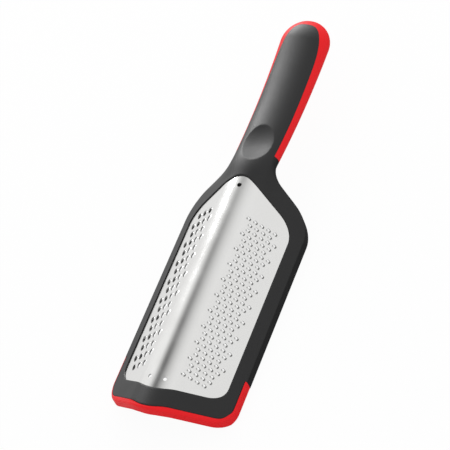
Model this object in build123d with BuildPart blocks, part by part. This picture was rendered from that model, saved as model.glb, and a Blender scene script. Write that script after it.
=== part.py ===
from build123d import *
import os
from math import asin, cos, radians, sin, sqrt, tan

# V-roof rasp zester: a bent steel plate with coarse teeth on one face and fine
# teeth on the other, held in a plastic frame that runs on into a hollow handle.
# X runs across the roof, Y from the foot to the handle's end, and Z up from the
# plane of the side walls' undersides. The origin is the middle of that plane.

os.makedirs("parts", exist_ok=True)

# Whole tool, in millimetres and degrees
overall_length = 305.0
frame_width = 85.6
roof_slope = 43.5
crest_radius = 20.0
overrun = 5.0

# Plastic frame
skin_thickness = 2.6
wall_depth = 7.4
wall_thickness = 3.0
skirt_depth = 13.0
skirt_thickness = 2.2
side_border = 6.9
foot_border = 12.5
foot_sweep = 22.2
foot_tip_radius = 18.0
foot_corner_radius = 13.5
edge_round = 1.2
shoulder_reach = 165.1
shoulder_sweep = 32.6
shoulder_radius = 25.0
neck_radius = 15.0
neck_run = 11.6

# Window that shows the steel
window_neck_border = 19.0
window_top_sweep = 29.2
window_tip_radius = 12.0
window_foot_tip_radius = 24.0
window_corner_radius = 13.5
window_shoulder_radius = 18.0

# Steel plate
plate_thickness = 0.6
plate_recess = 0.7
plate_overlap = 3.4
locating_hole_radius = 1.3
locating_hole_spread = 11.0
locating_hole_inset = 9.0
crest_hole_radius = 1.6
crest_hole_inset = 7.3

# Plain steel left beside the teeth and above them
tooth_side_border = 8.8
tooth_top_border = 27.4

# Coarse teeth, on the face towards -X
coarse_first_column = 18.8
coarse_pitch = 7.2
coarse_first_row = 19.9
coarse_tooth_radius = 2.1
coarse_tooth_height = 1.3
coarse_tooth_wall = 0.5
coarse_hole_radius = 1.4

# Fine teeth, on the face towards +X
fine_first_column = 18.8
fine_column_pitch = 5.07
fine_row_pitch = 3.87
fine_first_row = 17.2
fine_short_rows = 2
fine_tooth_radius = 1.25
fine_tooth_height = 0.8
fine_tooth_wall = 0.35
fine_hole_radius = 0.75

# Handle
handle_neck_width = 30.6
handle_end_width = 35.2
handle_height = 19.0
handle_drop = 11.3
handle_bow_radius = 420.0
handle_bow_centre = 66.0
handle_end_round = 16.5
handle_wall = 3.0
handle_taper = 24.0
taper_drop = 3.0
taper_height = 7.0
root_shares = (0, 0.5, 1)
top_panel_width = 27.8
top_panel_end = 6.3
top_panel_seat = 3.2
dimple_length = 30.0
dimple_width = 20.0
dimple_depth = 2.2
dimple_inset = 6.2

# Soft pieces
bumper_side = 1.1
bumper_nose = 3.0
bumper_reach = 45.7
bumper_tip_radius = 32.0
bumper_corner_radius = 18.0

# Distance within which a corner or an edge counts as lying on a line or a surface
match_tolerance = 0.02

# Share of the neck's width from its middle past which the crest's arc has ended
neck_edge_share = 0.4

# Heights and places that follow from these
half_width = frame_width / 2
slope_rise = tan(radians(roof_slope))
apex_height = wall_depth + half_width * slope_rise
arc_centre_height = apex_height - crest_radius / cos(radians(roof_slope))
handle_middle = arc_centre_height + crest_radius - handle_drop
foot = -overall_length / 2
handle_end = overall_length / 2
foot_slope = tan(radians(foot_sweep))
shoulder_slope = tan(radians(shoulder_sweep))
window_half_width = half_width - side_border


def tip_rise(radius):
    """How far rounding a foot tip with this radius pulls it back from its sharp point."""
    return radius * (1 / cos(radians(foot_sweep)) - 1)


bumper_apex = foot - tip_rise(bumper_tip_radius)
frame_apex = bumper_apex + bumper_nose
neck_corner = frame_apex + shoulder_reach + (half_width - handle_neck_width / 2) * shoulder_slope
grip_start = neck_corner + neck_run
window_apex = frame_apex + foot_border
window_top = grip_start - window_neck_border
bow_middle = handle_end - handle_bow_centre
round_start = handle_end - handle_end_round


def roof_profile(top_depth, bottom_depth, reach):
    """Closed band between two lines parallel to the roof, each with its own arc at the crest."""
    slope = radians(roof_slope)

    def line_points(depth):
        radius = crest_radius - depth
        tangent = (radius * sin(slope), arc_centre_height + radius * cos(slope))
        sharp = apex_height - depth / cos(slope)
        end = (reach, sharp - reach * slope_rise)
        return radius, tangent, end

    top_radius, top_tangent, top_end = line_points(top_depth)
    low_radius, low_tangent, low_end = line_points(bottom_depth)
    with BuildSketch(Plane.XZ) as band:
        with BuildLine():
            ThreePointArc(
                (-top_tangent[0], top_tangent[1]),
                (0, arc_centre_height + top_radius),
                top_tangent,
            )
            Polyline(top_tangent, top_end, low_end, low_tangent)
            ThreePointArc(
                low_tangent,
                (0, arc_centre_height + low_radius),
                (-low_tangent[0], low_tangent[1]),
            )
            Polyline(
                (-low_tangent[0], low_tangent[1]),
                (-low_end[0], low_end[1]),
                (-top_end[0], top_end[1]),
                (-top_tangent[0], top_tangent[1]),
            )
        make_face()
    return band.sketch


def near_height(outline, y):
    """Corners of a plan that lie at this place along the tool."""
    return [v for v in outline.vertices() if abs(v.Y - y) < match_tolerance]


def roof_edges(part, beyond):
    """Edges on the roof's own surface whose middles lie further out than this, or past the window."""
    chosen = []
    for edge in part.edges():
        middle = edge @ 0.5
        on_roof = middle.Z > apex_height - abs(middle.X) * slope_rise - match_tolerance
        outside = abs(middle.X) > beyond or middle.Y > window_top
        if on_roof and outside and abs(middle.X) > neck_edge_share * handle_neck_width:
            chosen.append(edge)
    return chosen


def tongue_outline(apex, reach, side_end, tip_radius, corner_radius):
    """Foot end of an outline: a shallow chevron, rounded at its tip and corners."""
    corner = apex + reach * foot_slope
    with BuildSketch(Plane.XY) as tongue:
        with BuildLine():
            Polyline(
                (0, apex), (reach, corner), (reach, side_end),
                (-reach, side_end), (-reach, corner), close=True,
            )
        make_face()
        fillet(tongue.vertices().group_by(Axis.Y)[0], radius=tip_radius)
        fillet(near_height(tongue, corner), radius=corner_radius)
    return tongue.sketch


def frame_outline(inset, apex, tip_radius, corner_radius):
    """Plan of the frame, set in by a wall: foot chevron, straight sides, shoulders and neck."""
    reach = half_width - inset
    neck = handle_neck_width / 2 - inset
    shoulder = frame_apex + shoulder_reach - inset * tan(radians(45 - shoulder_sweep / 2))
    bend = shoulder + (reach - neck) * shoulder_slope
    corner = apex + reach * foot_slope
    with BuildSketch(Plane.XY) as outline:
        with BuildLine():
            Polyline(
                (0, apex), (reach, corner), (reach, shoulder), (neck, bend),
                (neck, grip_start), (-neck, grip_start), (-neck, bend),
                (-reach, shoulder), (-reach, corner), close=True,
            )
        make_face()
        fillet(outline.vertices().group_by(Axis.Y)[0], radius=tip_radius)
        for height, radius in (
            (corner, corner_radius),
            (shoulder, shoulder_radius - inset),
            (bend, neck_radius + inset),
        ):
            fillet(near_height(outline, height), radius=radius)
    return outline.sketch


def window_outline(grow):
    """Plan of the window, grown by an overlap: pointed at the foot and at the neck."""
    reach = window_half_width + grow
    apex = window_apex - grow / cos(radians(foot_sweep))
    top = window_top + grow / cos(radians(window_top_sweep))
    corner = apex + reach * foot_slope
    shoulder = top - reach * tan(radians(window_top_sweep))
    with BuildSketch(Plane.XY) as outline:
        with BuildLine():
            Polyline(
                (0, apex), (reach, corner), (reach, shoulder), (0, top),
                (-reach, shoulder), (-reach, corner), close=True,
            )
        make_face()
        for height, radius in (
            (apex, window_foot_tip_radius + grow),
            (corner, window_corner_radius + grow),
            (shoulder, window_shoulder_radius + grow),
            (top, window_tip_radius + grow),
        ):
            fillet(near_height(outline, height), radius=radius)
    return outline.sketch


def handle_plane(y):
    """Plane square to the handle's bowed middle line at a place along it."""
    lean = asin((y - bow_middle) / handle_bow_radius)
    bow = handle_bow_radius * (1 - cos(lean))
    return Plane(
        origin=(0, y, handle_middle + bow), x_dir=(1, 0, 0), z_dir=(0, cos(lean), sin(lean)),
    )


def handle_shape(wall):
    """Handle from where it leaves the neck to its rounded end, set in by a wall."""
    with BuildPart() as dome:
        Sphere(1, arc_size1=0, align=(Align.CENTER, Align.CENTER, Align.MIN))
        scale(by=(handle_end_width / 2 - wall, handle_height / 2 - wall, handle_end_round - wall))
    start = grip_start - overrun
    with BuildPart() as shape:
        for y in (start, (start + round_start) / 2, round_start):
            share = (y - grip_start) / (round_start - grip_start)
            width = handle_neck_width + share * (handle_end_width - handle_neck_width)
            with BuildSketch(handle_plane(y)):
                Ellipse(width / 2 - wall, handle_height / 2 - wall)
        loft()
        with Locations(handle_plane(round_start)):
            add(dome.part)
        split(bisect_by=Plane.XZ.offset(-grip_start), keep=Keep.BOTTOM)
    return shape.part


# Handle's outer form and the space inside it, which the root closes at the neck
handle_form = handle_shape(0)
handle_hollow = handle_shape(handle_wall)

# Root that tapers away under the crest
with BuildPart() as handle_root:
    root_top = handle_plane(grip_start).origin.Z + handle_height / 2
    for root_share in root_shares:
        with BuildSketch(Plane.XZ.offset(root_share * handle_taper - grip_start)):
            root_height = handle_height - root_share * (handle_height - taper_height)
            with Locations((0, root_top - root_share * taper_drop - root_height / 2)):
                Ellipse(handle_neck_width / 2, root_height / 2)
    loft()

# Room that the black panel takes on top of the handle, above the bowed middle line
with BuildPart() as panel_room:
    panel_length = handle_end - top_panel_end - grip_start
    with BuildSketch(Plane.XY):
        with Locations((0, grip_start - overrun)):
            Rectangle(
                top_panel_width, panel_length + overrun - top_panel_width / 2,
                align=(Align.CENTER, Align.MIN),
            )
        with Locations((0, handle_end - top_panel_end - top_panel_width / 2)):
            Circle(top_panel_width / 2)
    extrude(amount=handle_middle + handle_bow_radius)
    with BuildSketch(Plane.YZ):
        with Locations((bow_middle, handle_middle + handle_bow_radius)):
            Circle(handle_bow_radius - top_panel_seat)
    extrude(amount=top_panel_width, both=True, mode=Mode.INTERSECT)

with BuildPart() as top_panel:
    add(handle_form)
    add(handle_hollow, mode=Mode.SUBTRACT)
    add(panel_room.part, mode=Mode.INTERSECT)

# Scoop for the thumb where the neck meets the handle
with BuildPart() as scoop_form:
    Sphere(1)
    scale(by=(dimple_width / 2, dimple_length / 2, dimple_depth))

with BuildPart() as thumb_scoop:
    with Locations((0, grip_start + dimple_inset, root_top)):
        add(scoop_form.part)

# Roof-shaped skin of the frame round the window
with BuildPart() as skin:
    extrude(frame_outline(0, frame_apex, foot_tip_radius, foot_corner_radius), amount=apex_height)
    extrude(window_outline(0), amount=apex_height, mode=Mode.SUBTRACT)
    extrude(
        roof_profile(0, skin_thickness, half_width + overrun),
        amount=overall_length, both=True, mode=Mode.INTERSECT,
    )

# Wall that hangs from the skin's outer edge
with BuildPart() as wall:
    extrude(frame_outline(0, frame_apex, foot_tip_radius, foot_corner_radius), amount=apex_height)
    extrude(
        frame_outline(
            wall_thickness, frame_apex + wall_thickness / cos(radians(foot_sweep)),
            foot_tip_radius, foot_corner_radius - wall_thickness,
        ),
        amount=apex_height, mode=Mode.SUBTRACT,
    )
    extrude(
        roof_profile(0, wall_depth * cos(radians(roof_slope)), half_width + overrun),
        amount=overall_length, both=True, mode=Mode.INTERSECT,
    )

# Skin and wall together, with their outer edge rounded
with BuildPart() as shell:
    add(skin.part)
    add(wall.part)
    fillet(roof_edges(shell, window_half_width + edge_round), radius=edge_round)

# Skirt that hangs round the window, below the plate's edge
with BuildPart() as skirt:
    extrude(window_outline(skirt_thickness), amount=apex_height)
    extrude(window_outline(0), amount=apex_height, mode=Mode.SUBTRACT)
    extrude(
        roof_profile(plate_recess, skirt_depth * cos(radians(roof_slope)), half_width + overrun),
        amount=overall_length, both=True, mode=Mode.INTERSECT,
    )

# Flat foot of each side wall, where the tool stands
with BuildPart() as rails:
    rail_start = frame_apex + half_width * foot_slope + foot_corner_radius
    rail_end = frame_apex + shoulder_reach - shoulder_radius * tan(radians(45 - shoulder_sweep / 2))
    with BuildSketch(Plane.XY):
        for side in (-1, 1):
            with Locations((side * (half_width - wall_thickness / 2), (rail_start + rail_end) / 2)):
                Rectangle(wall_thickness, rail_end - rail_start)
    extrude(amount=wall_depth)

# The plate's own form, before its teeth and holes
with BuildPart() as plate_blank:
    extrude(window_outline(plate_overlap), amount=apex_height)
    extrude(
        roof_profile(plate_recess, plate_recess + plate_thickness, half_width + overrun),
        amount=overall_length, both=True, mode=Mode.INTERSECT,
    )

# Ground that the bumper takes from the frame
with BuildPart() as bumper_seat:
    bumper_end = frame_apex + bumper_reach
    extrude(
        tongue_outline(
            bumper_apex - overrun, half_width + overrun, bumper_end,
            foot_tip_radius, foot_corner_radius,
        ),
        amount=apex_height,
    )
    extrude(
        tongue_outline(
            frame_apex, half_width - bumper_side, bumper_end + overrun,
            foot_tip_radius, foot_corner_radius - bumper_side,
        ),
        amount=apex_height, mode=Mode.SUBTRACT,
    )

# Steel plate with its teeth
slope_angle = radians(roof_slope)
face_reach = window_half_width / cos(slope_angle)
window_length = window_top - window_apex
plate_top = apex_height - plate_recess / cos(slope_angle)
coarse_face = Plane(
    origin=(0, window_apex, plate_top),
    x_dir=(cos(slope_angle), 0, sin(slope_angle)),
    z_dir=(-sin(slope_angle), 0, cos(slope_angle)),
)
fine_face = Plane(
    origin=(0, window_apex, plate_top),
    x_dir=(cos(slope_angle), 0, -sin(slope_angle)),
    z_dir=(sin(slope_angle), 0, cos(slope_angle)),
)


def copies(room, first, border, pitch):
    """How many copies of a tooth fit in a room, past its first place and short of its border."""
    return 1 + int((room - first - border) / pitch)


def coarse_places():
    """Slope distance and place along the roof of each coarse tooth, in staggered rows."""
    places = []
    columns = copies(face_reach, coarse_first_column, tooth_side_border, coarse_pitch)
    for row in range(copies(window_length, coarse_first_row, tooth_top_border, coarse_pitch)):
        narrow = row % 2 == 0
        start = coarse_first_column + (coarse_pitch / 2 if narrow else 0)
        for column in range(columns - narrow):
            places.append((-start - column * coarse_pitch, coarse_first_row + row * coarse_pitch))
    return places


def fine_places():
    """Slope distance and place along the roof of each fine tooth, in groups of three rows."""
    places = []
    columns = copies(face_reach, fine_first_column, tooth_side_border, fine_column_pitch)
    for row in range(copies(window_length, fine_first_row, tooth_top_border, fine_row_pitch)):
        kind = row % 3
        short = kind == 2 or row < fine_short_rows
        start = fine_first_column + (0 if kind == 0 else fine_column_pitch / 2)
        for column in range(columns - short):
            places.append((start + column * fine_column_pitch, fine_first_row + row * fine_row_pitch))
    return places


def tooth_hood(radius, height, wall_size, kept_side):
    """Half of a low spherical shell, standing on the plate and open on its other side."""
    ball = (radius**2 + height**2) / (2 * height)
    with BuildPart() as hood:
        with Locations((0, 0, height - ball)):
            Sphere(ball)
            Sphere(ball - wall_size, mode=Mode.SUBTRACT)
        with Locations((0, 0, -plate_thickness / 2)):
            Box(
                2 * ball, ball, height + plate_thickness,
                align=(Align.CENTER, kept_side, Align.MIN), mode=Mode.INTERSECT,
            )
    return hood.part


# The coarse teeth are open towards the foot and the fine ones towards the handle
coarse_hood = tooth_hood(coarse_tooth_radius, coarse_tooth_height, coarse_tooth_wall, Align.MIN)
fine_hood = tooth_hood(fine_tooth_radius, fine_tooth_height, fine_tooth_wall, Align.MAX)

with BuildPart() as plate:
    add(plate_blank.part)
    with BuildSketch(Plane.XY):
        with Locations((0, window_top - crest_hole_inset)):
            Circle(crest_hole_radius)
        with Locations(
            (-locating_hole_spread / 2, window_apex + locating_hole_inset),
            (locating_hole_spread / 2, window_apex + locating_hole_inset),
        ):
            Circle(locating_hole_radius)
    extrude(amount=apex_height, mode=Mode.SUBTRACT)
    for face, places, hood in (
        (coarse_face, coarse_places(), coarse_hood),
        (fine_face, fine_places(), fine_hood),
    ):
        with Locations(*[face * Location((s, y, 0)) for s, y in places]):
            add(hood)
    for face, places, radius in (
        (coarse_face, coarse_places(), coarse_hole_radius),
        (fine_face, fine_places(), fine_hole_radius),
    ):
        with BuildSketch(face):
            with Locations(*places):
                Circle(radius)
        extrude(amount=-2 * plate_thickness, mode=Mode.SUBTRACT)
plate.part.label = "grater_plate"
export_step(plate.part, "parts/grater_plate.step")

# Black frame, neck and top of the handle, moulded in one round the plate
with BuildPart() as frame:
    add(shell.part)
    add(skirt.part)
    add(rails.part)
    add(handle_root.part)
    add(top_panel.part)
    add(thumb_scoop.part, mode=Mode.SUBTRACT)
    add(bumper_seat.part, mode=Mode.SUBTRACT)
    add(plate_blank.part, mode=Mode.SUBTRACT)
frame.part.label = "frame"
export_step(frame.part, "parts/frame.step")

# Soft bumper round the foot
with BuildPart() as bumper:
    extrude(
        tongue_outline(
            bumper_apex, half_width, bumper_end, bumper_tip_radius, bumper_corner_radius,
        ),
        amount=apex_height,
    )
    extrude(
        roof_profile(0, wall_depth * cos(radians(roof_slope)), half_width + overrun),
        amount=overall_length, both=True, mode=Mode.INTERSECT,
    )
    fillet(roof_edges(bumper, window_half_width + edge_round), radius=edge_round)
    add(bumper_seat.part, mode=Mode.INTERSECT)
bumper.part.label = "foot_bumper"
export_step(bumper.part, "parts/foot_bumper.step")

# Soft grip: sides, underside and end of the handle
with BuildPart() as grip:
    add(handle_form)
    add(handle_hollow, mode=Mode.SUBTRACT)
    add(top_panel.part, mode=Mode.SUBTRACT)
grip.part.label = "handle_grip"
export_step(grip.part, "parts/handle_grip.step")
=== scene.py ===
from math import cos, pi, radians, sin, sqrt, tan

import bpy
import numpy as np
from mathutils import Matrix, Vector


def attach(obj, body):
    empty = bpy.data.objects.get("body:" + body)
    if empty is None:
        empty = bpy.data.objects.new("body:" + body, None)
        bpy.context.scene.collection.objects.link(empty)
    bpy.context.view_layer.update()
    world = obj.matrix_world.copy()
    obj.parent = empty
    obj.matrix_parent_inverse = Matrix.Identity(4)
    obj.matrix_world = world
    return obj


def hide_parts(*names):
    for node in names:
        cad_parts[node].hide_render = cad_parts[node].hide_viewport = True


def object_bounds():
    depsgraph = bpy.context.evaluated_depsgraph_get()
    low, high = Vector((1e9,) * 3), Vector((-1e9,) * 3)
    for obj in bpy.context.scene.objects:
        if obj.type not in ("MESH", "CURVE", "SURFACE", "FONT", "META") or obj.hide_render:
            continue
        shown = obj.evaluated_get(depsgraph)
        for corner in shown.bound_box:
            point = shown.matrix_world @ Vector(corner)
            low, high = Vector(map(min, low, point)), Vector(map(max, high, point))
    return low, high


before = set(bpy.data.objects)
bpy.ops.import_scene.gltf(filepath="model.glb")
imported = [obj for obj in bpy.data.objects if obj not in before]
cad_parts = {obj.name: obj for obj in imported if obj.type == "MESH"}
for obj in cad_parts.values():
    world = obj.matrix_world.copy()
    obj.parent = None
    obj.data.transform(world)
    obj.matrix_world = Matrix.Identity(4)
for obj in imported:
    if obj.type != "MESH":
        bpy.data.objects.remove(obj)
cad_low, cad_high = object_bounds()

# Lengths are in millimetres here and become metres when a mesh is made.
# X runs across the roof, Y from the foot to the handle's end, Z up from the table.
MM = 0.001

# Roof of the body
half_width = cad_high.x / MM
foot = cad_low.y / MM
handle_end = cad_high.y / MM
slope = radians(43.5)
crest_radius = 20.0
wall_depth = 7.4
apex_height = wall_depth + half_width * tan(slope)
arc_centre = apex_height - crest_radius / cos(slope)
arc_length = crest_radius * slope

# Plan of the frame, the window and the bumper
foot_angle = radians(22.2)
foot_rise = tan(foot_angle)
bumper_tip_radius = 32.0
bumper_corner_radius = 18.0
bumper_nose = 3.0
bumper_side = 1.1
bumper_reach = 45.7
bumper_depth = 9.2
bumper_edge = 1.3
bumper_edge_share = 0.7
bumper_edge_drop = 1.5
bumper_low_round = 2.2
bumper_low_share = 0.8
bumper_seam_share = 0.08
bumper_seam_drop = 0.25
bumper_seam_lift = 0.02
bumper_apex = foot - bumper_tip_radius * (1 / cos(foot_angle) - 1)
frame_apex = bumper_apex + bumper_nose
bumper_end = frame_apex + bumper_reach
frame_tip_radius = 18.0
frame_corner_radius = 13.5
shoulder_y = frame_apex + 165.1
shoulder_slope = 0.64
shoulder_radius = 25.0
neck_half_width = 15.3
neck_radius = 15.0
side_border = 6.9
window_apex = frame_apex + 12.5
window_top = window_apex + 162.8
window_tip_radius = 24.0
window_corner_radius = 13.5
window_shoulder_slope = 0.559
window_shoulder_radius = 18.0
window_top_radius = 12.0
window_half_width = half_width - side_border

# Thicknesses and edges
skin = 2.6
wall = 3.0
brow_width = 0.5
edge_drop = 1.1
neck_edge_drop = 0.8
lip_out = (0, 0, 0.12, 0.45)
lip_drop = (1.2, 0.4, 0.1, 0)
inner_lip_out = (0, 0.15, 0.3, 0.45)
inner_lip_drop = (0, 0, 0, 0)
skirt_thickness = 2.2
skirt_depth = 13.0
skirt_start = 2.1
skirt_inset = 2.0
plate_recess = 0.7
plate_thickness = 0.6

# Handle
grip_start = frame_apex + 194.3
handle_half_height = 9.5
handle_end_half_width = 17.6
handle_end_round = 16.5
end_bulge = 1.2
end_reach = handle_end_round + end_bulge
round_start = handle_end - handle_end_round
handle_drop = 11.3
handle_middle = arc_centre + crest_radius - handle_drop
bow_radius = 420.0
bow_middle = handle_end - 66.0
blend_start = frame_apex + 170.0
blend_end = frame_apex + 193.0
turn_start = 24.0
panel_start_half_width = 13.45
panel_half_width = 14.1
panel_widest = frame_apex + 244.0
panel_taper = frame_apex + 262.0
panel_taper_length = 37.0
soft_wall = 3.0
seam_gap = 0.04
dimple_centre = grip_start + 6.2
dimple_half_length = 15.0
dimple_half_width = 10.0
dimple_depth = 2.6
dimple_margin = 2.2
dimple_rim_lift = 0.04
under_dimple_half_length = 13.8
under_dimple_half_width = 7.6
plug_set_back = 6.0
plug_half_length = 4.0
plug_clearance = 1.2

# Share of its half width at which the crown carries on straight
crown_limit = 0.92

# Points closer than 1 / weld_scale mm are made one
weld_scale = 2000


def smooth(low, high, value):
    """Smooth step: 0 below low, 1 above high, 3t^2 - 2t^3 between."""
    t = np.clip((value - low) / (high - low), 0, 1)
    return t * t * (3 - 2 * t)


def roof(x, inset=0.0):
    """Roof height: two slopes joined by an arc at the crest, set in square to itself."""
    radius = crest_radius - inset
    arc = arc_centre + np.sqrt(np.maximum(radius**2 - x**2, 0))
    flat = apex_height - inset / cos(slope) - np.abs(x) * tan(slope)
    return np.where(np.abs(x) < radius * sin(slope), arc, flat)


def handle_width(y):
    """Half width of the handle: straight from the neck to where its end starts to round."""
    share = np.clip((y - grip_start) / (round_start - grip_start), 0, 1)
    return neck_half_width + share * (handle_end_half_width - neck_half_width)


def middle(y):
    """Height of the handle's middle line, an arc of a large circle."""
    return handle_middle + bow_radius - np.sqrt(bow_radius**2 - (y - bow_middle) ** 2)


def crown(q):
    """Ellipse's height for a share q of its half width, carried on as its tangent near the side."""
    inside = np.sqrt(1 - np.minimum(np.abs(q), crown_limit) ** 2)
    fall = crown_limit / sqrt(1 - crown_limit**2)
    return inside - np.maximum(np.abs(q) - crown_limit, 0) * fall


def top(x, y, skin_inset=0.0, wall_inset=0.0):
    """Top surface of the frame, neck and handle: the roof turning into the handle's crown."""
    share = smooth(blend_start, blend_end, y)
    rounded = middle(y) + (handle_half_height - skin_inset) * crown(x / (handle_width(y) - wall_inset))
    return (1 - share) * roof(x, skin_inset) + share * rounded


def round_corner(before, corner, after, radius, steps):
    """Arc of steps + 1 points that rounds a corner between two straight runs."""
    into = (corner - before) / np.linalg.norm(corner - before)
    out = (after - corner) / np.linalg.norm(after - corner)
    side = np.sign(into[0] * out[1] - into[1] * out[0])
    turn = np.arccos(np.clip(into @ out, -1, 1))
    start = corner - into * radius * np.tan(turn / 2)
    normal = side * np.array([-into[1], into[0]])
    centre = start + normal * radius
    angles = side * np.linspace(0, turn, steps + 1)
    spoke = start - centre
    turned_x = spoke[0] * np.cos(angles) - spoke[1] * np.sin(angles)
    turned_y = spoke[0] * np.sin(angles) + spoke[1] * np.cos(angles)
    return centre + np.stack([turned_x, turned_y], -1)


def half_plan(corners, radii, arc_steps, run_steps, closed):
    """Right half of a plan outline, from its tip on the centre line: arcs and straight runs in turn."""
    corners = np.array(corners, float)
    flip = np.array([-1, 1])
    after_last = corners[-2] * flip if closed else None
    arcs = []
    for i, (corner, radius, steps) in enumerate(zip(corners, radii, arc_steps)):
        before = corners[i - 1] if i else corners[1] * flip
        after = corners[i + 1] if i + 1 < len(corners) else after_last
        if after is None or radius == 0:
            arcs.append(corner[None])
            continue
        at_centre = i == 0 or (closed and i + 1 == len(corners))
        arc = round_corner(before, corner, after, radius, 2 * steps if at_centre else steps)
        if i == 0:
            arc = arc[steps:]
        elif at_centre:
            arc = arc[: steps + 1]
        arcs.append(arc)
    points = [arcs[0]]
    for before, arc, steps in zip(arcs, arcs[1:], run_steps):
        run = np.linspace(before[-1], arc[0], steps + 1)[1:]
        points += [run, arc[1:]]
    plan = np.concatenate(points)
    plan[0, 0] = 0
    return plan


def inward(plan):
    """Unit normals to the left of a plan curve, square to the centre line at its first point."""
    run = np.gradient(plan, axis=0)
    run[0] = (1, 0)
    run /= np.linalg.norm(run, axis=1)[:, None]
    return np.stack([-run[:, 1], run[:, 0]], -1)


def grid_faces(rows, columns):
    """Quads of a grid of points, row by row."""
    index = np.arange(rows * columns).reshape(rows, columns)
    quads = np.stack([index[:-1, :-1], index[:-1, 1:], index[1:, 1:], index[1:, :-1]], -1)
    return quads.reshape(-1, 4)


def mirrored(outer, inner, faces):
    """A half sheet and its mirror image across the centre plane, turned so that both face out."""
    flip = np.array([-1, 1, 1])
    return (
        np.concatenate([outer, outer * flip]),
        np.concatenate([inner, inner * flip]),
        np.concatenate([faces, faces[:, ::-1] + len(outer)]),
    )


def joined(sheets):
    """Several (outer, inner, faces) sheets as one."""
    outers, inners, faces, count = [], [], [], 0
    for outer, inner, quads in sheets:
        outers.append(outer)
        inners.append(inner)
        faces.append(quads + count)
        count += len(outer)
    return np.concatenate(outers), np.concatenate(inners), np.concatenate(faces)


def welded(outer, inner, faces):
    """The sheet with points that share a place on its outer side made one, and empty faces dropped."""
    keys = np.round(outer * weld_scale).astype(np.int64)
    _, first, index = np.unique(keys, axis=0, return_index=True, return_inverse=True)
    faces = index.reshape(-1)[faces]
    distinct = [len(set(face)) for face in faces.tolist()]
    return outer[first], inner[first], faces[np.array(distinct) > 2]


def thick_sheet(outer, inner, faces):
    """Closed shell between two sheets with the same faces, with a rim along every free edge."""
    outer, inner, faces = welded(outer, inner, faces)
    edges = np.concatenate([faces[:, [i, (i + 1) % 4]] for i in range(4)])
    edges = edges[edges[:, 0] != edges[:, 1]]
    pairs = np.sort(edges, axis=1)
    _, index, counts = np.unique(pairs, axis=0, return_inverse=True, return_counts=True)
    free = edges[counts[index.reshape(-1)] == 1]
    count = len(outer)
    rim = np.stack([free[:, 1], free[:, 0], free[:, 0] + count, free[:, 1] + count], -1)
    return np.concatenate([outer, inner]), np.concatenate([faces, faces[:, ::-1] + count, rim])


def make_piece(name, points, faces, material, replaced, sharp=35):
    """Mesh object on the root body that stands for a CAD node, smooth but for edges past an angle."""
    corners = [list(dict.fromkeys(face)) for face in faces.tolist()]
    mesh = bpy.data.meshes.new(name)
    mesh.from_pydata((points * MM).tolist(), [], [c for c in corners if len(c) > 2])
    mesh.validate()
    mesh.shade_smooth()
    mesh.set_sharp_from_angle(angle=radians(sharp))
    mesh.materials.append(material)
    piece = bpy.data.objects.new(name, mesh)
    bpy.context.scene.collection.objects.link(piece)
    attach(piece, "root")
    for node in replaced:
        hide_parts(node)
    return piece


# Steps along the frame's edge, in order from its tip to the soft grip
tip_steps = 10
front_steps = 26
corner_steps = 10
arm_steps = 12
side_steps = 50
shoulder_steps = 16
slant_steps = 8
bend_steps = 12
neck_steps = 5

# Step of the bend at which the neck's rows start, and steps of the other grids
bend_split = 6
crown_steps = 16
handle_rows = 75
end_turns = 24
grip_steps = 20
ring_steps = 12
wall_steps = 10
plug_turns = 32
plug_rows = 12
bend_shares = np.linspace(0, 1, 6)
cap_turns = (0.35, 0.7, 1.05, 1.35)

# Rings of the thumb scoop: shares of the way in from its border, then shares of its radius
scoop_rim = 1.04
scoop_border_shares = (0.4, 0.75)
scoop_radii = (scoop_rim, 1.0, 0.985, 0.93, 0.8, 0.6, 0.4, 0.2, 0.0)


def curve(start, corner, end, shares):
    """Points start (1 - t)^2 + 2 corner t (1 - t) + end t^2 of a bend, for each share t."""
    t = np.asarray(shares)[:, None]
    return start[:, None] * (1 - t) ** 2 + 2 * corner[:, None] * t * (1 - t) + end[:, None] * t**2


def blend(start, end, shares):
    """Points start (1 - t) + end t on the straight way between two curves, for each share t."""
    t = np.asarray(shares)[:, None]
    return start[:, None] * (1 - t) + end[:, None] * t


def on_top(plan, skin_inset, wall_inset):
    """Plan points with the height of the top surface, outer or set in."""
    height = top(plan[..., 0], plan[..., 1], skin_inset, wall_inset)
    return np.concatenate([plan, height[..., None]], -1)


def frame_plan():
    """Frame's edge from its tip to where the soft grip starts."""
    neck_y = shoulder_y + (half_width - neck_half_width) * shoulder_slope
    corners = [
        (0, frame_apex),
        (half_width, frame_apex + half_width * foot_rise),
        (half_width, bumper_end),
        (half_width, shoulder_y),
        (neck_half_width, neck_y),
        (neck_half_width, grip_start),
    ]
    radii = [frame_tip_radius, frame_corner_radius, 0, shoulder_radius, neck_radius, 0]
    arc_steps = [tip_steps, corner_steps, 0, shoulder_steps, bend_steps, 0]
    run_steps = [front_steps, arm_steps, side_steps, slant_steps, neck_steps]
    return half_plan(corners, radii, arc_steps, run_steps, closed=False)


arm_index = tip_steps + front_steps + corner_steps + arm_steps
shoulder_index = arm_index + side_steps + shoulder_steps
seam_index = shoulder_index + slant_steps + bend_split


def window_plan():
    """Window's edge from its foot to its top and its outward normals, with a point for each point of
    the frame's edge as far as the seam and then in to the crest."""
    corners = [
        (0, window_apex),
        (window_half_width, window_apex + window_half_width * foot_rise),
        (window_half_width, window_top - window_half_width * window_shoulder_slope),
        (0, window_top),
    ]
    radii = [window_tip_radius, window_corner_radius, window_shoulder_radius, window_top_radius]
    arc_steps = [tip_steps, corner_steps, shoulder_steps, crown_steps]
    run_steps = [front_steps, arm_steps + side_steps, slant_steps + bend_split]
    plan = half_plan(corners, radii, arc_steps, run_steps, closed=True)
    outward = -inward(plan)
    outward[-1] = (0, 1)
    return plan, outward


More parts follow.
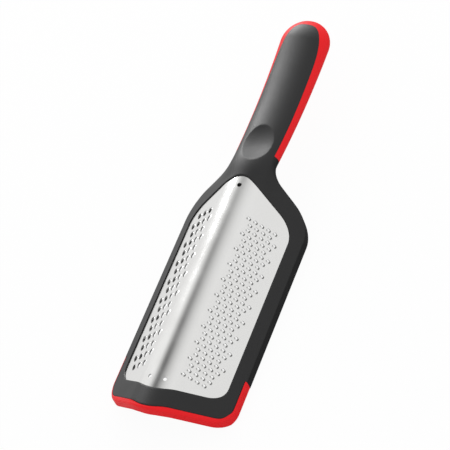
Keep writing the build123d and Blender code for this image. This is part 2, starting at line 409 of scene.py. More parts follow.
def seated_frame_plan():
    """Frame's edge, stepped in along the arms of the bumper, and its inward normals."""
    plan = frame_plan()
    normals = inward(plan)
    bend = np.clip((np.arange(len(plan)) - tip_steps - front_steps) / corner_steps, 0, 1)
    step = bumper_side * smooth(0, 1, bend)
    step[arm_index + 1 :] = 0
    seated = plan + normals * step[:, None]
    seated[arm_index + 1, 1] = bumper_end + seam_gap
    return seated, normals


def arc_row(edge_x, y, width):
    """Places across the top from the crest to an edge, evenly turned round the handle's crown."""
    angle = np.arcsin(np.minimum(edge_x / width, crown_limit))
    turn = np.sin(angle[:, None] * np.linspace(0, 1, crown_steps + 1)) / np.sin(angle)[:, None]
    return np.stack([edge_x[:, None] * turn, np.repeat(y[:, None], crown_steps + 1, 1)], -1)


def panel_edge(y):
    """Half width of the black panel on the handle: widest past its middle, rounded at its end."""
    narrowing = (panel_half_width - panel_start_half_width) * np.clip(
        (panel_widest - y) / (panel_widest - grip_start), 0, 1
    ) ** 2
    taper = np.clip((y - panel_taper) / panel_taper_length, 0, 1)
    return (panel_half_width - narrowing) * np.cbrt(1 - taper**3)


def panel_end_share(turns):
    """How far out from the end's pole the panel's edge lies, found by halving for each turn."""
    low, high = np.zeros_like(turns), np.ones_like(turns)
    for _ in range(40):
        share = (low + high) / 2
        x = share * handle_end_half_width * np.cos(turns)
        y = round_start + share * end_reach * np.sin(turns)
        outside = x > panel_edge(y)
        low, high = np.where(outside, low, share), np.where(outside, share, high)
    return (low + high) / 2


def window_ring(far_side, skin_inset, wall_inset):
    """Ring of the frame's top: from the window's lip in even steps to the brow and the crest."""
    window, window_out = window_plan()
    outward = np.array(inner_lip_out if skin_inset else lip_out)
    drop = np.array(inner_lip_drop if skin_inset else lip_drop)
    lip = window[:, None] + window_out[:, None] * outward[:, None]
    share = np.linspace(0, 1, ring_steps + 1)[1:, None]
    spread = lip[:, -1:] + (far_side[:, None] - lip[:, -1:]) * share
    ring = np.concatenate([lip, spread], axis=1)
    ring[[0, -1], :, 0] = 0
    ring = on_top(ring, skin_inset, wall_inset)
    ring[:, : len(drop), 2] -= drop
    return ring


def handle_deck(neck_rows, skin_inset, wall_inset):
    """Top of the neck and the handle, row by row, out to the panel's edge."""
    rows_y = np.linspace(grip_start, round_start, handle_rows + 1)[1:]
    widths = handle_width(rows_y) - wall_inset
    ratio = (panel_edge(rows_y) - seam_gap) / handle_width(rows_y)
    deck = np.concatenate([neck_rows, arc_row(ratio * widths, rows_y, widths)])
    return on_top(deck, skin_inset, wall_inset)


def end_fan(skin_inset, wall_inset):
    """Top of the handle's rounded end, fanned out from its pole to the panel's edge."""
    turns = np.linspace(0, pi / 2, end_turns + 1)
    angle = np.arcsin(panel_end_share(turns) - seam_gap / handle_end_round)
    lean = angle[:, None] * np.linspace(0, 1, crown_steps + 1)
    return end_points(turns, lean, skin_inset, wall_inset)


def side_band(plan, edge, brow, seam_turn, skin_inset, wall_inset):
    """Band from the brow round its edge and down the wall, which past the seam turns under the neck
    as a quarter of an ellipse."""
    corner = on_top(edge, skin_inset, wall_inset)
    side_z = corner[:, 2] - edge_drop - neck_edge_drop * seam_turn
    foot_z = np.maximum(roof(plan[:, 0]) - wall_depth, 0)
    brow = on_top(brow, skin_inset, wall_inset)
    bend = curve(brow, corner, np.column_stack([edge, side_z]), bend_shares)
    t = np.linspace(0, 1, wall_steps + 1)[1:]
    straight = np.stack([
        np.repeat(edge[:, :1], len(t), 1),
        np.repeat(edge[:, 1:], len(t), 1),
        side_z[:, None] + (foot_z - side_z)[:, None] * t,
    ], -1)
    wrapped = np.stack([
        edge[:, :1] * np.cos(t * pi / 2),
        np.repeat(edge[:, 1:], len(t), 1),
        side_z[:, None] - (handle_half_height - wall_inset) * np.sin(t * pi / 2),
    ], -1)
    wrap = seam_turn[:, None, None]
    return np.concatenate([bend, (1 - wrap) * straight + wrap * wrapped], 1)


def frame_sheet(skin_inset, wall_inset):
    """Grids of one half of the black sheet, outer or set in: ring, deck, end fan and side band."""
    plan, normals = seated_frame_plan()
    seam_turn = smooth(-turn_start, -neck_half_width, -plan[:, 0]) * (plan[:, 1] > shoulder_y)
    panel_step = neck_half_width - panel_start_half_width
    brow_inset = wall_inset + (1 - seam_turn) * brow_width + seam_turn * panel_step
    edge = plan + normals * wall_inset
    brow = plan + normals * brow_inset[:, None]
    edge[0, 0] = brow[0, 0] = 0
    neck_y = brow[seam_index:, 1]
    neck_rows = arc_row(brow[seam_index:, 0], neck_y, handle_width(neck_y) - wall_inset)
    far_side = np.concatenate([brow[: seam_index + 1], neck_rows[0, -2::-1]])
    return (
        window_ring(far_side, skin_inset, wall_inset),
        handle_deck(neck_rows, skin_inset, wall_inset),
        end_fan(skin_inset, wall_inset),
        side_band(plan, edge, brow, seam_turn, skin_inset, wall_inset),
    )


def end_points(turns, lean, skin_inset, wall_inset):
    """Rounded end of the handle: a turn in plan and a lean from straight up give each point."""
    x = (handle_end_half_width - wall_inset) * np.sin(lean) * np.cos(turns)[:, None]
    y = round_start + (end_reach - wall_inset) * np.sin(lean) * np.sin(turns)[:, None]
    z = middle(y) + (handle_half_height - skin_inset) * np.cos(lean)
    return np.stack([x, y, z], -1)


def scoop_patch(deck, rows, last_column, half_across, half_length, depth):
    """Half of the thumb scoop: rings that shrink from a block of the deck to the scoop's deepest
    point, which lie deeper by depth (1 - r^2), or on the plain inner top where the depth is 0."""
    first, last = rows
    across_start = deck[first, :last_column]
    up_side = deck[first : last + 1, last_column]
    across_end = deck[last, last_column - 1 :: -1]
    border = np.concatenate([across_start, up_side, across_end])
    insets = (0, 0) if depth else (skin, wall)
    centre = np.array([0, dimple_centre])
    half_size = np.array([half_across, half_length])
    spoke = (border[:, :2] - centre) / half_size
    spoke /= np.linalg.norm(spoke, axis=1)[:, None]
    spoke[0, 0] = spoke[-1, 0] = 0
    reach = spoke * half_size
    rings = [border]
    for share in scoop_border_shares:
        plan = border[:, :2] * (1 - share) + (centre + reach * scoop_rim) * share
        rings.append(on_top(plan, *insets))
    for radius in scoop_radii:
        ring = on_top(centre + reach * radius, *insets)
        ring[:, 2] -= depth * max(0, 1 - radius**2) + (dimple_rim_lift if radius == 1.0 else 0)
        rings.append(ring)
    return np.stack(rings)


def build_frame(material):
    """Black frame, neck and handle panel as one thick sheet, with the thumb scoop set into the deck, a
    plug that closes the neck and a skirt round the window."""
    outer = frame_sheet(0, 0)
    inner = frame_sheet(skin, wall)
    deck_rows = outer[1][:, 0, 1]
    first = int(np.argmax(deck_rows > dimple_centre - dimple_half_length - dimple_margin))
    last = int(np.argmax(deck_rows > dimple_centre + dimple_half_length + dimple_margin))
    last_column = crown_steps - 2
    block = (first, last), last_column
    scoop = scoop_patch(outer[1], *block, dimple_half_width, dimple_half_length, dimple_depth)
    under = scoop_patch(inner[1], *block, under_dimple_half_width, under_dimple_half_length, 0)
    sheets = []
    for kind, outside, inside in zip(("ring", "deck", "fan", "band"), outer, inner):
        rows, columns = outside.shape[:2]
        faces = grid_faces(rows, columns)
        if kind == "deck":
            row, column = np.divmod(np.arange((rows - 1) * (columns - 1)), columns - 1)
            faces = faces[(row < first) | (row >= last) | (column >= last_column)]
        if kind in ("ring", "band"):
            faces = faces[:, ::-1]
        sheets.append((outside.reshape(-1, 3), inside.reshape(-1, 3), faces))
    sheets.append((scoop.reshape(-1, 3), under.reshape(-1, 3), grid_faces(*scoop.shape[:2])))
    points, quads = thick_sheet(*mirrored(*joined(sheets)))
    for more_points, more_quads in (neck_plug(), window_skirt()):
        quads = np.concatenate([quads, more_quads + len(points)])
        points = np.concatenate([points, more_points])
    return make_piece("black_frame", points, quads, material, ["frame"])


def window_skirt():
    """Closed ring that hangs round the window below the plate's edge, down to the table at most."""
    window, window_out = window_plan()
    inner = window - window_out * skirt_inset
    grown = window + window_out * skirt_thickness
    corners = (
        (inner, skirt_start), (grown, skirt_start), (grown, skirt_depth), (inner, skirt_depth),
        (inner, skirt_start),
    )
    profile = np.stack([
        np.column_stack([plan, np.maximum(roof(plan[:, 0]) - depth, 0)]) for plan, depth in corners
    ], 1)
    profile[[0, -1], :, 0] = 0
    points = profile.reshape(-1, 3)
    points, _, faces = mirrored(points, points, grid_faces(*profile.shape[:2])[:, ::-1])
    points, _, faces = welded(points, points, faces)
    return points, faces


def neck_plug():
    """Closed lens inside the neck: a flattened ball that fills the handle's section."""
    lon = np.linspace(0, 2 * pi, plug_turns + 1)
    lat = np.linspace(0, pi, plug_rows + 1)
    y = grip_start - plug_set_back
    ring = np.sin(lat)[:, None]
    points = np.stack([
        (neck_half_width - plug_clearance) * ring * np.cos(lon),
        y + plug_half_length * np.cos(lat)[:, None] * np.ones_like(lon),
        middle(y) + (handle_half_height - plug_clearance) * ring * np.sin(lon),
    ], -1)
    shape = points.shape[:2]
    points = points.reshape(-1, 3)
    points, _, faces = welded(points, points, grid_faces(*shape))
    return points, faces


def build_grip(material):
    """Soft grip: from the panel's edge round the sides and the end to the handle's underside."""
    rows_y = np.linspace(grip_start + seam_gap, round_start, handle_rows + 1)
    turns = np.linspace(0, pi / 2, end_turns + 1)
    share = np.linspace(0, 1, grip_steps + 1)
    straight_start = np.arcsin((panel_edge(rows_y) + seam_gap) / handle_width(rows_y))
    end_start = np.arcsin(panel_end_share(turns) + seam_gap / handle_end_round)
    straight_lean = straight_start[:, None] * (1 - share) + pi * share
    end_lean = end_start[:, None] * (1 - share) + pi * share
    sides = []
    for inset in (0, soft_wall):
        width = (handle_width(rows_y) - inset)[:, None]
        straight = np.stack([
            width * np.sin(straight_lean),
            np.repeat(rows_y[:, None], grip_steps + 1, 1),
            middle(rows_y)[:, None] + (handle_half_height - inset) * np.cos(straight_lean),
        ], -1)
        sides.append((straight, end_points(turns, end_lean, inset, inset)))
    sheets = [
        (outside.reshape(-1, 3), inside.reshape(-1, 3), grid_faces(*outside.shape[:2]))
        for outside, inside in zip(*sides)
    ]
    points, quads = thick_sheet(*mirrored(*joined(sheets)))
    points[np.abs(points[:, 0]) < 1e-6, 0] = 0
    return make_piece("soft_grip", points, quads, material, ["handle_grip"])


def build_bumper(material):
    """Soft bumper: a closed profile carried round the foot between the frame's edge and its own, with
    a rounded end that shrinks as a cosine."""
    inner = seated_frame_plan()[0][: arm_index + 1]
    corners = [
        (0, bumper_apex),
        (half_width, bumper_apex + half_width * foot_rise),
        (half_width, bumper_end),
    ]
    outer = half_plan(
        corners, [bumper_tip_radius, bumper_corner_radius, 0],
        [tip_steps, corner_steps, 0], [front_steps, arm_steps], closed=False,
    )
    outward = -inward(outer)
    outward[0] = (0, -1)
    width = np.linalg.norm(outer - inner, axis=1)
    edge = np.minimum(bumper_edge, width * bumper_edge_share)[:, None]
    low_edge = np.minimum(bumper_low_round, width * bumper_low_share)
    shoulder = outer - outward * edge
    inner_top = roof(inner[:, 0])
    outer_top = roof(outer[:, 0])
    floor = np.maximum(outer_top - bumper_depth, 0)
    stack = np.column_stack
    seam_low = stack([inner, inner_top - bumper_seam_drop])
    seam_top = stack([inner - (inner - outer) * bumper_seam_share, inner_top + bumper_seam_lift])
    brow = stack([shoulder, roof(shoulder[:, 0])])
    side = stack([outer, outer_top - bumper_edge_drop])
    low_side = stack([outer, floor + low_edge])
    low_floor = stack([outer - outward * low_edge[:, None], floor])
    profile = np.concatenate([
        seam_low[:, None],
        seam_top[:, None],
        blend(seam_top, brow, (0.33, 0.66)),
        curve(brow, stack([outer, outer_top]), side, bend_shares),
        blend(side, low_side, (0.33, 0.67, 1)),
        curve(low_side, stack([outer, floor]), low_floor, (0.25, 0.5, 0.75, 1)),
        stack([inner, floor])[:, None],
    ], 1)
    profile[0, :, 0] = 0
    centre = profile[-1].mean(0)
    caps = []
    for turn in cap_turns:
        ring = centre + (profile[-1] - centre) * cos(turn)
        ring[:, 1] = profile[-1, :, 1] + bumper_seam_lift
        caps.append(ring)
    tip = np.repeat(centre[None], profile.shape[1], 0)
    tip[:, 1] = bumper_end + bumper_seam_lift
    profile = np.concatenate([profile, np.stack(caps + [tip])])
    closed = np.concatenate([profile, profile[:, :1]], 1)
    points = closed.reshape(-1, 3)
    points, _, faces = mirrored(points, points, grid_faces(*closed.shape[:2])[:, ::-1])
    points, _, faces = welded(points, points, faces)
    return make_piece("soft_bumper", points, faces, material, ["foot_bumper"])


# Teeth: places are measured along the roof from the crest and along the body from the foot
coarse_column = 7.2
coarse_row = 7.22
coarse_first = 15.0
coarse_first_row = frame_apex + 32.5
coarse_rows = 17
coarse_cells = 6
coarse_most = 4
coarse_foot_rows = 10
coarse_top_rows = 14
fine_column = 5.07
fine_row = 3.872
fine_first = 15.0
fine_first_row = frame_apex + 29.8
fine_rows = 31
fine_cells = 4
fine_most = 5
fine_foot_rows = 8
fine_top_rows = 12
edge_columns = 4
plate_half_width = half_width - 3.5
plate_foot = window_apex - 3.6
plate_top = window_top + 3.9

# Line at which the coarse grid ends and the fine grid starts, and the last step up to it
split_place = 12.3
split_step = 0.3

# Hood round a tooth's hole: how far it reaches past the hole's middle, and how it swells and rises
hood_reach = 0.3
hood_swell = 0.6
hood_rise = 1.3

# Forms of the holes: the hood's side, outer radius, hole radius, height, lean and rings
coarse_tooth = (1, 2.5, 1.95, 0.3, 0.0, 4)
fine_tooth = (-1, 1.85, 1.05, 0.75, 0.45, 5)
foot_hole = (1, 1.5, 1.25, 0.0, 0.0, 2)
crest_hole = (1, 1.9, 1.6, 0.0, 0.0, 2)


def on_roof(s, y, height):
    """Point at a distance s round the roof from the crest, raised square to it by a height."""
    angle = np.clip(s / crest_radius, -slope, slope)
    over = s - crest_radius * angle
    radius = crest_radius + height
    x = radius * np.sin(angle) + over * np.cos(angle)
    z = arc_centre + radius * np.cos(angle) - np.abs(over) * np.sin(np.abs(angle))
    return np.stack([x, y + 0 * s, z], -1)


def plate_grid(columns, tooth_rows, foot_rows, top_rows):
    """Grid of (s, y) over the plate: slanted rows at the foot and the top, level rows between them."""
    x = on_roof(columns, 0, 0)[:, 0]
    low = plate_foot + np.abs(x) * foot_rise
    high = plate_top - np.abs(x) * window_shoulder_slope
    foot_share = np.linspace(0, 1, foot_rows + 1)[:-1]
    top_share = np.linspace(0, 1, top_rows + 1)[1:]
    foot_part = low[:, None] + (tooth_rows[0] - low[:, None]) * foot_share
    top_part = tooth_rows[-1] + (high[:, None] - tooth_rows[-1]) * top_share
    level = np.repeat(tooth_rows[None], len(columns), 0)
    y = np.concatenate([foot_part, level, top_part], 1)
    return np.stack([np.repeat(columns[:, None], y.shape[1], 1), y], -1)


def block_border(grid, block):
    """Closed loop of grid points round a block of cells, and the block's middle."""
    i0, i1, j0, j1 = block
    loop = np.concatenate([
        grid[i0:i1, j0], grid[i1, j0:j1], grid[i1:i0:-1, j1], grid[i0, j1:j0:-1],
    ])
    return loop, (grid[i0, j0] + grid[i1, j0] + grid[i1, j1] + grid[i0, j1]) / 4


def tooth_rings(loops, centres, side, radius, hole, height, lean, steps):
    """Rings of (s, y, height) from each block's border to a circle and on to its hole. The hood rises
    on one side of the hole, the foot's for -1 and the handle's for 1, and leans over the hole."""
    spoke = loops - centres[:, None]
    spoke /= np.linalg.norm(spoke, axis=-1)[..., None]
    raised = np.clip((side * spoke[..., 1] + hood_reach) / (1 + hood_reach), 0, 1) ** hood_swell
    flat = np.concatenate([loops, np.zeros(loops.shape[:2] + (1,))], -1)
    rings = [flat]
    for t in np.linspace(0, 1, steps):
        reach = radius + (hole - radius) * t
        place = centres[:, None] + spoke * reach
        place[..., 1] -= side * lean * raised * t**2
        rise = height * raised * np.sin(t * pi / 2) ** hood_rise
        rings.append(np.concatenate([place, rise[..., None]], -1))
    return np.stack(rings, 1)


def patched_sheet(grid, patches):
    """Plate sheet over a grid whose blocks are replaced by rings: (s, y, height) points and quads."""
    rows, columns = grid.shape[:2]
    faces = grid_faces(rows, columns)
    kept = np.ones((rows - 1, columns - 1), bool)
    flat = np.concatenate([grid, np.zeros((rows, columns, 1))], -1).reshape(-1, 3)
    points, quads, count = [flat], [], len(flat)
    for blocks, *form in patches:
        borders = [block_border(grid, block) for block in blocks]
        for i0, i1, j0, j1 in blocks:
            kept[i0:i1, j0:j1] = False
        loops = np.stack([border[0] for border in borders])
        centres = np.stack([border[1] for border in borders])
        rings = tooth_rings(loops, centres, *form)
        rings = np.concatenate([rings, rings[:, :, :1]], 2)
        single = grid_faces(*rings.shape[1:3])
        size = rings.shape[1] * rings.shape[2]
        starts = count + np.arange(len(blocks)) * size
        quads.append((single[None] + starts[:, None, None]).reshape(-1, 4))
        points.append(rings.reshape(-1, 3))
        count += len(blocks) * size
    return np.concatenate(points), np.concatenate([faces[kept.reshape(-1)][:, ::-1]] + quads)


def plate_side(grid, patches):
    """Closed shell of one part of the plate."""
    flat, faces = patched_sheet(grid, patches)
    outer = on_roof(flat[:, 0], flat[:, 1], flat[:, 2] - plate_recess)
    inner = on_roof(flat[:, 0], flat[:, 1], flat[:, 2] - plate_recess - plate_thickness)
    return thick_sheet(outer, inner, faces)


def coarse_side(edge):
    """Left part of the plate, over the crest to the split: coarse teeth, two holes at the foot and one
    hole on the crest near the neck."""
    step = coarse_column / coarse_cells
    inner_line = coarse_first - coarse_column / 2
    outer_line = inner_line + coarse_most * coarse_column
    border = -np.linspace(edge, outer_line, edge_columns + 1)[:-1]
    left = -np.linspace(outer_line, inner_line, coarse_most * coarse_cells + 1)
    crest = np.arange(-inner_line + step, inner_line + step / 2, step)
    columns = np.concatenate([border, left, crest, [split_place - split_step, split_place]])
    places = np.arange(coarse_rows * coarse_cells + 1) / coarse_cells - 0.5
    rows = coarse_first_row + coarse_row * places
    grid = plate_grid(columns, rows, coarse_foot_rows, coarse_top_rows)
    face_end = edge_columns + coarse_most * coarse_cells
    teeth = []
    for row in range(coarse_rows):
        narrow = row % 2 == 0
        for column in range(coarse_most - narrow):
            i1 = face_end - column * coarse_cells - (coarse_cells // 2 if narrow else 0)
            j0 = coarse_foot_rows + row * coarse_cells
            teeth.append((i1 - coarse_cells, i1, j0, j0 + coarse_cells))
    mid = face_end + int(inner_line / step)
    top_row = coarse_foot_rows + coarse_rows * coarse_cells
    # Blocks of cells: first and last column, first and last row
    foot_blocks = [(mid - 6, mid - 2, 4, 8), (mid + 3, mid + 7, 4, 8)]
    crest_block = [(mid - 2, mid + 3, top_row + 6, top_row + 10)]
    return plate_side(grid, [
        (teeth, *coarse_tooth),
        (foot_blocks, *foot_hole),
        (crest_block, *crest_hole),
    ])


def fine_side(edge):
    """Right part of the plate, from the split to its edge: fine teeth in rows of three kinds."""
    lines = fine_most * fine_cells + fine_cells // 2
    first_line = fine_first - fine_column / 2
    fine_lines = first_line + fine_column / fine_cells * np.arange(lines + 1)
    border = np.linspace(fine_lines[-1], edge, edge_columns + 1)[1:]
    columns = np.concatenate([[split_place], fine_lines, border])
    places = np.arange(fine_rows * fine_cells + 1) / fine_cells - 0.5
    rows = fine_first_row + fine_row * places
    grid = plate_grid(columns, rows, fine_foot_rows, fine_top_rows)
    teeth = []
    for row in range(fine_rows):
        kind = row % 3
        short = kind == 2 or row < 2
        for column in range(fine_most - short):
            i0 = 1 + column * fine_cells + (0 if kind == 0 else fine_cells // 2)
            j0 = fine_foot_rows + row * fine_cells
            teeth.append((i0, i0 + fine_cells, j0, j0 + fine_cells))
    return plate_side(grid, [(teeth, *fine_tooth)])


def build_plate(material):
    """Bent steel plate with raised, open teeth: coarse on the left face, fine on the right."""
    edge = arc_length + (plate_half_width - crest_radius * sin(slope)) / cos(slope)
    left_points, left_faces = coarse_side(edge)
    right_points, right_faces = fine_side(edge)
    faces = np.concatenate([left_faces, right_faces + len(left_points)])
    points = np.concatenate([left_points, right_points])
    return make_piece("steel_plate", points, faces, material, ["grater_plate"], sharp=50)


def add_node(tree, kind, values=None, links=None, operation=None, data_type=None):
    """Node of a kind, with values and linked sockets for its inputs, which are named or numbered."""
    node = tree.nodes.new(kind)
    if operation:
        node.operation = operation
    if data_type:
        node.data_type = data_type
    for key, value in (values or {}).items():
        node.inputs[key].default_value = value
    for key, socket in (links or {}).items():
        tree.links.new(socket, node.inputs[key])
    return node


def shader_group(name, inputs, outputs):
    """Empty node group with named sockets: (name, kind, default) for inputs, (name, kind) for outputs."""
    group = bpy.data.node_groups.new(name, "ShaderNodeTree")
    for title, kind, value in inputs:
        socket = group.interface.new_socket(name=title, in_out="INPUT", socket_type=kind)
        socket.default_value = value
    for title, kind in outputs:
        group.interface.new_socket(name=title, in_out="OUTPUT", socket_type=kind)
    return group, group.nodes.new("NodeGroupInput"), group.nodes.new("NodeGroupOutput")


def grain_group():
    """Fine moulded or blasted texture: noise and pits as a height, and a slow patchy mask."""
    group, source, result = shader_group(
        "surface_grain",
        [("Scale", "NodeSocketFloat", 1500.0), ("Coarseness", "NodeSocketFloat", 0.3)],
        [("Height", "NodeSocketFloat"), ("Patches", "NodeSocketFloat")],
    )
    place = add_node(group, "ShaderNodeTexCoord").outputs["Object"]
    scale = source.outputs["Scale"]
    pit_share = 0.6
    fine = add_node(group, "ShaderNodeTexNoise", {"Detail": 3.0}, {"Vector": place, "Scale": scale})
    pit_scale = add_node(group, "ShaderNodeMath", {1: pit_share}, {0: scale}, operation="MULTIPLY")
    pits = add_node(
        group, "ShaderNodeTexVoronoi", links={"Vector": place, "Scale": pit_scale.outputs[0]},
    )
    pits.feature = "SMOOTH_F1"
    height = add_node(group, "ShaderNodeMix", links={
        "Factor": source.outputs["Coarseness"],
        "A": fine.outputs["Fac"],
        "B": pits.outputs["Distance"],
    })
    slow = add_node(group, "ShaderNodeTexNoise", {"Scale": 60.0, "Detail": 4.0}, {"Vector": place})
    group.links.new(height.outputs["Result"], result.inputs["Height"])
    group.links.new(slow.outputs["Fac"], result.inputs["Patches"])
    return group


grain = grain_group()

# Patches between these values shift the roughness by up to the spread
patch_low = 0.3
patch_high = 0.7
rough_spread = 0.03


def surface(name, base, varied, roughness, scale, coarseness, bump, metallic=0.0, specular=0.5):
    """Material with a patchy base colour and roughness and a fine bump from the shared grain."""
    material = bpy.data.materials.new(name)
    material.use_nodes = True
    tree = material.node_tree
    shader = tree.nodes["Principled BSDF"]
    shader.inputs["Metallic"].default_value = metallic
    shader.inputs["Specular IOR Level"].default_value = specular
    texture = add_node(tree, "ShaderNodeGroup")
    texture.node_tree = grain
    texture.inputs["Scale"].default_value = scale
    texture.inputs["Coarseness"].default_value = coarseness
    patches = texture.outputs["Patches"]
    colour = add_node(
        tree, "ShaderNodeMix", {"A": (*base, 1), "B": (*varied, 1)}, {"Factor": patches},
        data_type="RGBA",
    )
    rough = add_node(tree, "ShaderNodeMapRange", {
        "From Min": patch_low,
        "From Max": patch_high,
        "To Min": roughness - rough_spread,
        "To Max": roughness + rough_spread,
    }, {"Value": patches})
    dents = add_node(
        tree, "ShaderNodeBump", {"Strength": 1.0, "Distance": bump},
        {"Height": texture.outputs["Height"]},
    )
    tree.links.new(colour.outputs["Result"], shader.inputs["Base Color"])
    tree.links.new(rough.outputs["Result"], shader.inputs["Roughness"])
    tree.links.new(dents.outputs["Normal"], shader.inputs["Normal"])
    return material


steel = surface(
    "satin_steel", (0.83, 0.825, 0.81), (0.88, 0.88, 0.87),
    roughness=0.18, scale=1400, coarseness=0.2, bump=0.000003, metallic=1.0,
)
black = surface(
    "textured_black_plastic", (0.006, 0.006, 0.0065), (0.009, 0.009, 0.0095),
    roughness=0.54, scale=2200, coarseness=0.5, bump=0.00002,
)
red = surface(
    "soft_red_rubber", (0.76, 0.006, 0.010), (0.82, 0.009, 0.014),
    roughness=0.55, scale=2200, coarseness=0.4, bump=0.000012, specular=0.2,
)

build_plate(steel)
build_frame(black)
build_grip(red)
build_bumper(red)


# Floor: half its side and its height in metres, its share of plain white, and its matt part
floor_reach = 6.0
floor_height = -0.0002
floor_white = 0.95
floor_grey = 0.8
floor_roughness = 0.9

# Painted reflection: in gloss alone the floor's glow darkens between two places across the body, in
# metres, a painted dark patch that the steel and plastic mirror
painted_reflection_start = -0.07
painted_reflection_end = 0.0
painted_reflection_bright = 0.85
painted_reflection_dark = 0.12

# World: plain white, and for gloss alone (place, brightness) stops from the left to the right, which
# fade to a share between two places towards the handle's end
world_white = 0.95
rear_white = 0.88
rear_start = 0.36
rear_end = 0.49
rear_share = 0.4
world_stops = (
    (0.0, 0.92), (0.10, 0.88), (0.17, 0.84), (0.24, 0.46), (0.29, 0.12), (0.35, 0.0), (0.41, 0.17),
    (0.48, 0.40), (0.55, 0.58), (0.65, 0.76), (0.78, 0.86), (1.0, 0.82),
)


def build_floor():
    """White floor that keeps a faint shadow. Gloss sees a painted shade on it: its glow darkens from left
    to right, and the steel mirrors it as a painted dark reflection.
    """
    mesh = bpy.data.meshes.new("floor")
    signs = ((-1, -1), (1, -1), (1, 1), (-1, 1))
    corners = [(floor_reach * x, floor_reach * y, floor_height) for x, y in signs]
    mesh.from_pydata(corners, [], [(0, 1, 2, 3)])
    floor = bpy.data.objects.new("floor", mesh)
    bpy.context.scene.collection.objects.link(floor)
    material = bpy.data.materials.new("white_floor")
    material.use_nodes = True
    tree = material.node_tree
    matt = tree.nodes["Principled BSDF"]
    matt.inputs["Base Color"].default_value = (floor_grey, floor_grey, floor_grey, 1)
    matt.inputs["Roughness"].default_value = floor_roughness
    rays = add_node(tree, "ShaderNodeLightPath").outputs
    direct = add_node(tree, "ShaderNodeMath", links={
        0: rays["Is Camera Ray"],
        1: rays["Is Glossy Ray"],
    }, operation="MAXIMUM")
    seen = add_node(tree, "ShaderNodeMath", links={
        0: direct.outputs[0],
        1: rays["Is Transmission Ray"],
    }, operation="MAXIMUM")
    share = add_node(tree, "ShaderNodeMath", {1: floor_white}, {0: seen.outputs[0]}, operation="MULTIPLY")
    place = add_node(tree, "ShaderNodeTexCoord").outputs["Object"]
    across = add_node(tree, "ShaderNodeSeparateXYZ", links={"Vector": place}).outputs["X"]
    # Painted reflection: the floor's glow, seen by gloss alone, dims from left to right across the body
    shade = add_node(tree, "ShaderNodeMapRange", {
        "From Min": painted_reflection_start,
        "From Max": painted_reflection_end,
        "To Min": painted_reflection_bright,
        "To Max": painted_reflection_dark,
    }, {"Value": across})
    strength = add_node(tree, "ShaderNodeMix", {"A": 1.0}, {
        "Factor": rays["Is Glossy Ray"],
        "B": shade.outputs["Result"],
    })
    white = add_node(tree, "ShaderNodeEmission", links={"Strength": strength.outputs["Result"]})
    mix = add_node(tree, "ShaderNodeMixShader", links={
        "Fac": share.outputs[0],
        1: matt.outputs["BSDF"],
        2: white.outputs["Emission"],
    })
    tree.links.new(mix.outputs["Shader"], tree.nodes["Material Output"].inputs["Surface"])
    mesh.materials.append(material)


def build_world():
    """White world. Gloss sees a dark gap in it, left of overhead, that fades towards the handle's end."""
    world = bpy.data.worlds.new("studio")
    bpy.context.scene.world = world
    world.use_nodes = True
    tree = world.node_tree
    background = tree.nodes["Background"]
    background.inputs["Strength"].default_value = 1.0
    direction = add_node(tree, "ShaderNodeTexCoord").outputs["Generated"]
    split = add_node(tree, "ShaderNodeSeparateXYZ", links={"Vector": direction})
    across = add_node(
        tree, "ShaderNodeMapRange", {"From Min": -1.0, "From Max": 1.0}, {"Value": split.outputs["X"]},
    )
    gap = add_node(tree, "ShaderNodeValToRGB", links={"Fac": across.outputs["Result"]})
    stops = gap.color_ramp.elements
    stops.remove(stops[0])
    first_place, first_value = world_stops[0]
    stops[0].position = first_place
    stops[0].color = (first_value, first_value, first_value, 1)
    for position, value in world_stops[1:]:
        stops.new(position).color = (value, value, value, 1)
    near = add_node(tree, "ShaderNodeMapRange", {
        "From Min": rear_start,
        "From Max": rear_end,
        "To Min": 1.0,
        "To Max": rear_share,
    }, {"Value": split.outputs["Y"]})
    room = add_node(tree, "ShaderNodeMix", {"A": (rear_white, rear_white, rear_white, 1)}, {
        "Factor": near.outputs["Result"],
        "B": gap.outputs["Color"],
    }, data_type="RGBA")
    rays = add_node(tree, "ShaderNodeLightPath").outputs
    seen = add_node(tree, "ShaderNodeMix", {"A": (world_white, world_white, world_white, 1)}, {
        "Factor": rays["Is Glossy Ray"],
        "B": room.outputs["Result"],
    }, data_type="RGBA")
    tree.links.new(seen.outputs["Result"], background.inputs["Color"])


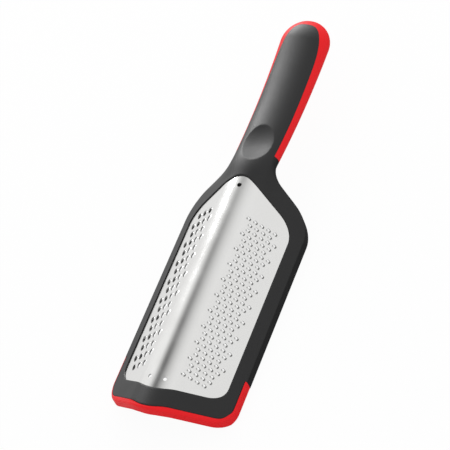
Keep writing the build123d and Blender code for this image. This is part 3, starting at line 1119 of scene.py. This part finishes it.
# Lamps look at this place, in metres
lamp_target = Vector((0, 0, 0.03))


def add_lamp(name, direction, distance, size, power, on_colour=True):
    """Square soft lamp that looks at the middle of the object. It can light gloss alone, so that a
    highlight is as bright as in the photograph and the colours stay as written."""
    lamp = bpy.data.lights.new(name, "AREA")
    lamp.size = size
    lamp.energy = power
    holder = bpy.data.objects.new(name, lamp)
    away = Vector(direction).normalized()
    holder.location = lamp_target + away * distance
    holder.rotation_euler = (-away).to_track_quat("-Z", "Y").to_euler()
    holder.visible_diffuse = on_colour
    bpy.context.scene.collection.objects.link(holder)


def build_camera():
    """Camera on the photograph's line of sight, turned so that the object sits as it does there.
    The focal length and the offsets are in pixels of the photograph."""
    photo_width = 450
    azimuth, lift, roll = 0.413, -0.487, 0.406
    distance, focal, offset_x, offset_y = 1246.58, 1960.98, 2.2, -26.8
    target = np.array([0, -2.06, 48.0])
    away = np.array([sin(azimuth), sin(lift), sqrt(1 - sin(azimuth) ** 2 - sin(lift) ** 2)])
    place = target + distance * away
    level = np.cross(-away, (0, 1, 0))
    level /= np.linalg.norm(level)
    above = np.cross(level, -away)
    right = cos(roll) * level + sin(roll) * above
    up = cos(roll) * above - sin(roll) * level
    look = -away - right * offset_x / focal + up * offset_y / focal
    look /= np.linalg.norm(look)
    right -= look * (right @ look)
    right /= np.linalg.norm(right)
    up = np.cross(right, look)
    camera = bpy.data.cameras.new("camera")
    camera.sensor_width = 36.0
    camera.lens = focal * camera.sensor_width / photo_width
    camera.clip_start, camera.clip_end = 0.05, 50.0
    holder = bpy.data.objects.new("camera", camera)
    turn = Matrix((right, up, -look)).transposed().to_4x4()
    holder.matrix_world = Matrix.Translation(Vector(place * MM)) @ turn
    bpy.context.scene.collection.objects.link(holder)
    bpy.context.scene.camera = holder


build_floor()
build_world()
add_lamp("gloss", (-0.65, 0.70, 0.30), distance=1.4, size=0.6, power=18, on_colour=False)
add_lamp("back", (-0.38, 0.84, 0.39), distance=1.4, size=0.7, power=6)
build_camera()
bpy.context.scene.view_settings.view_transform = "Standard"
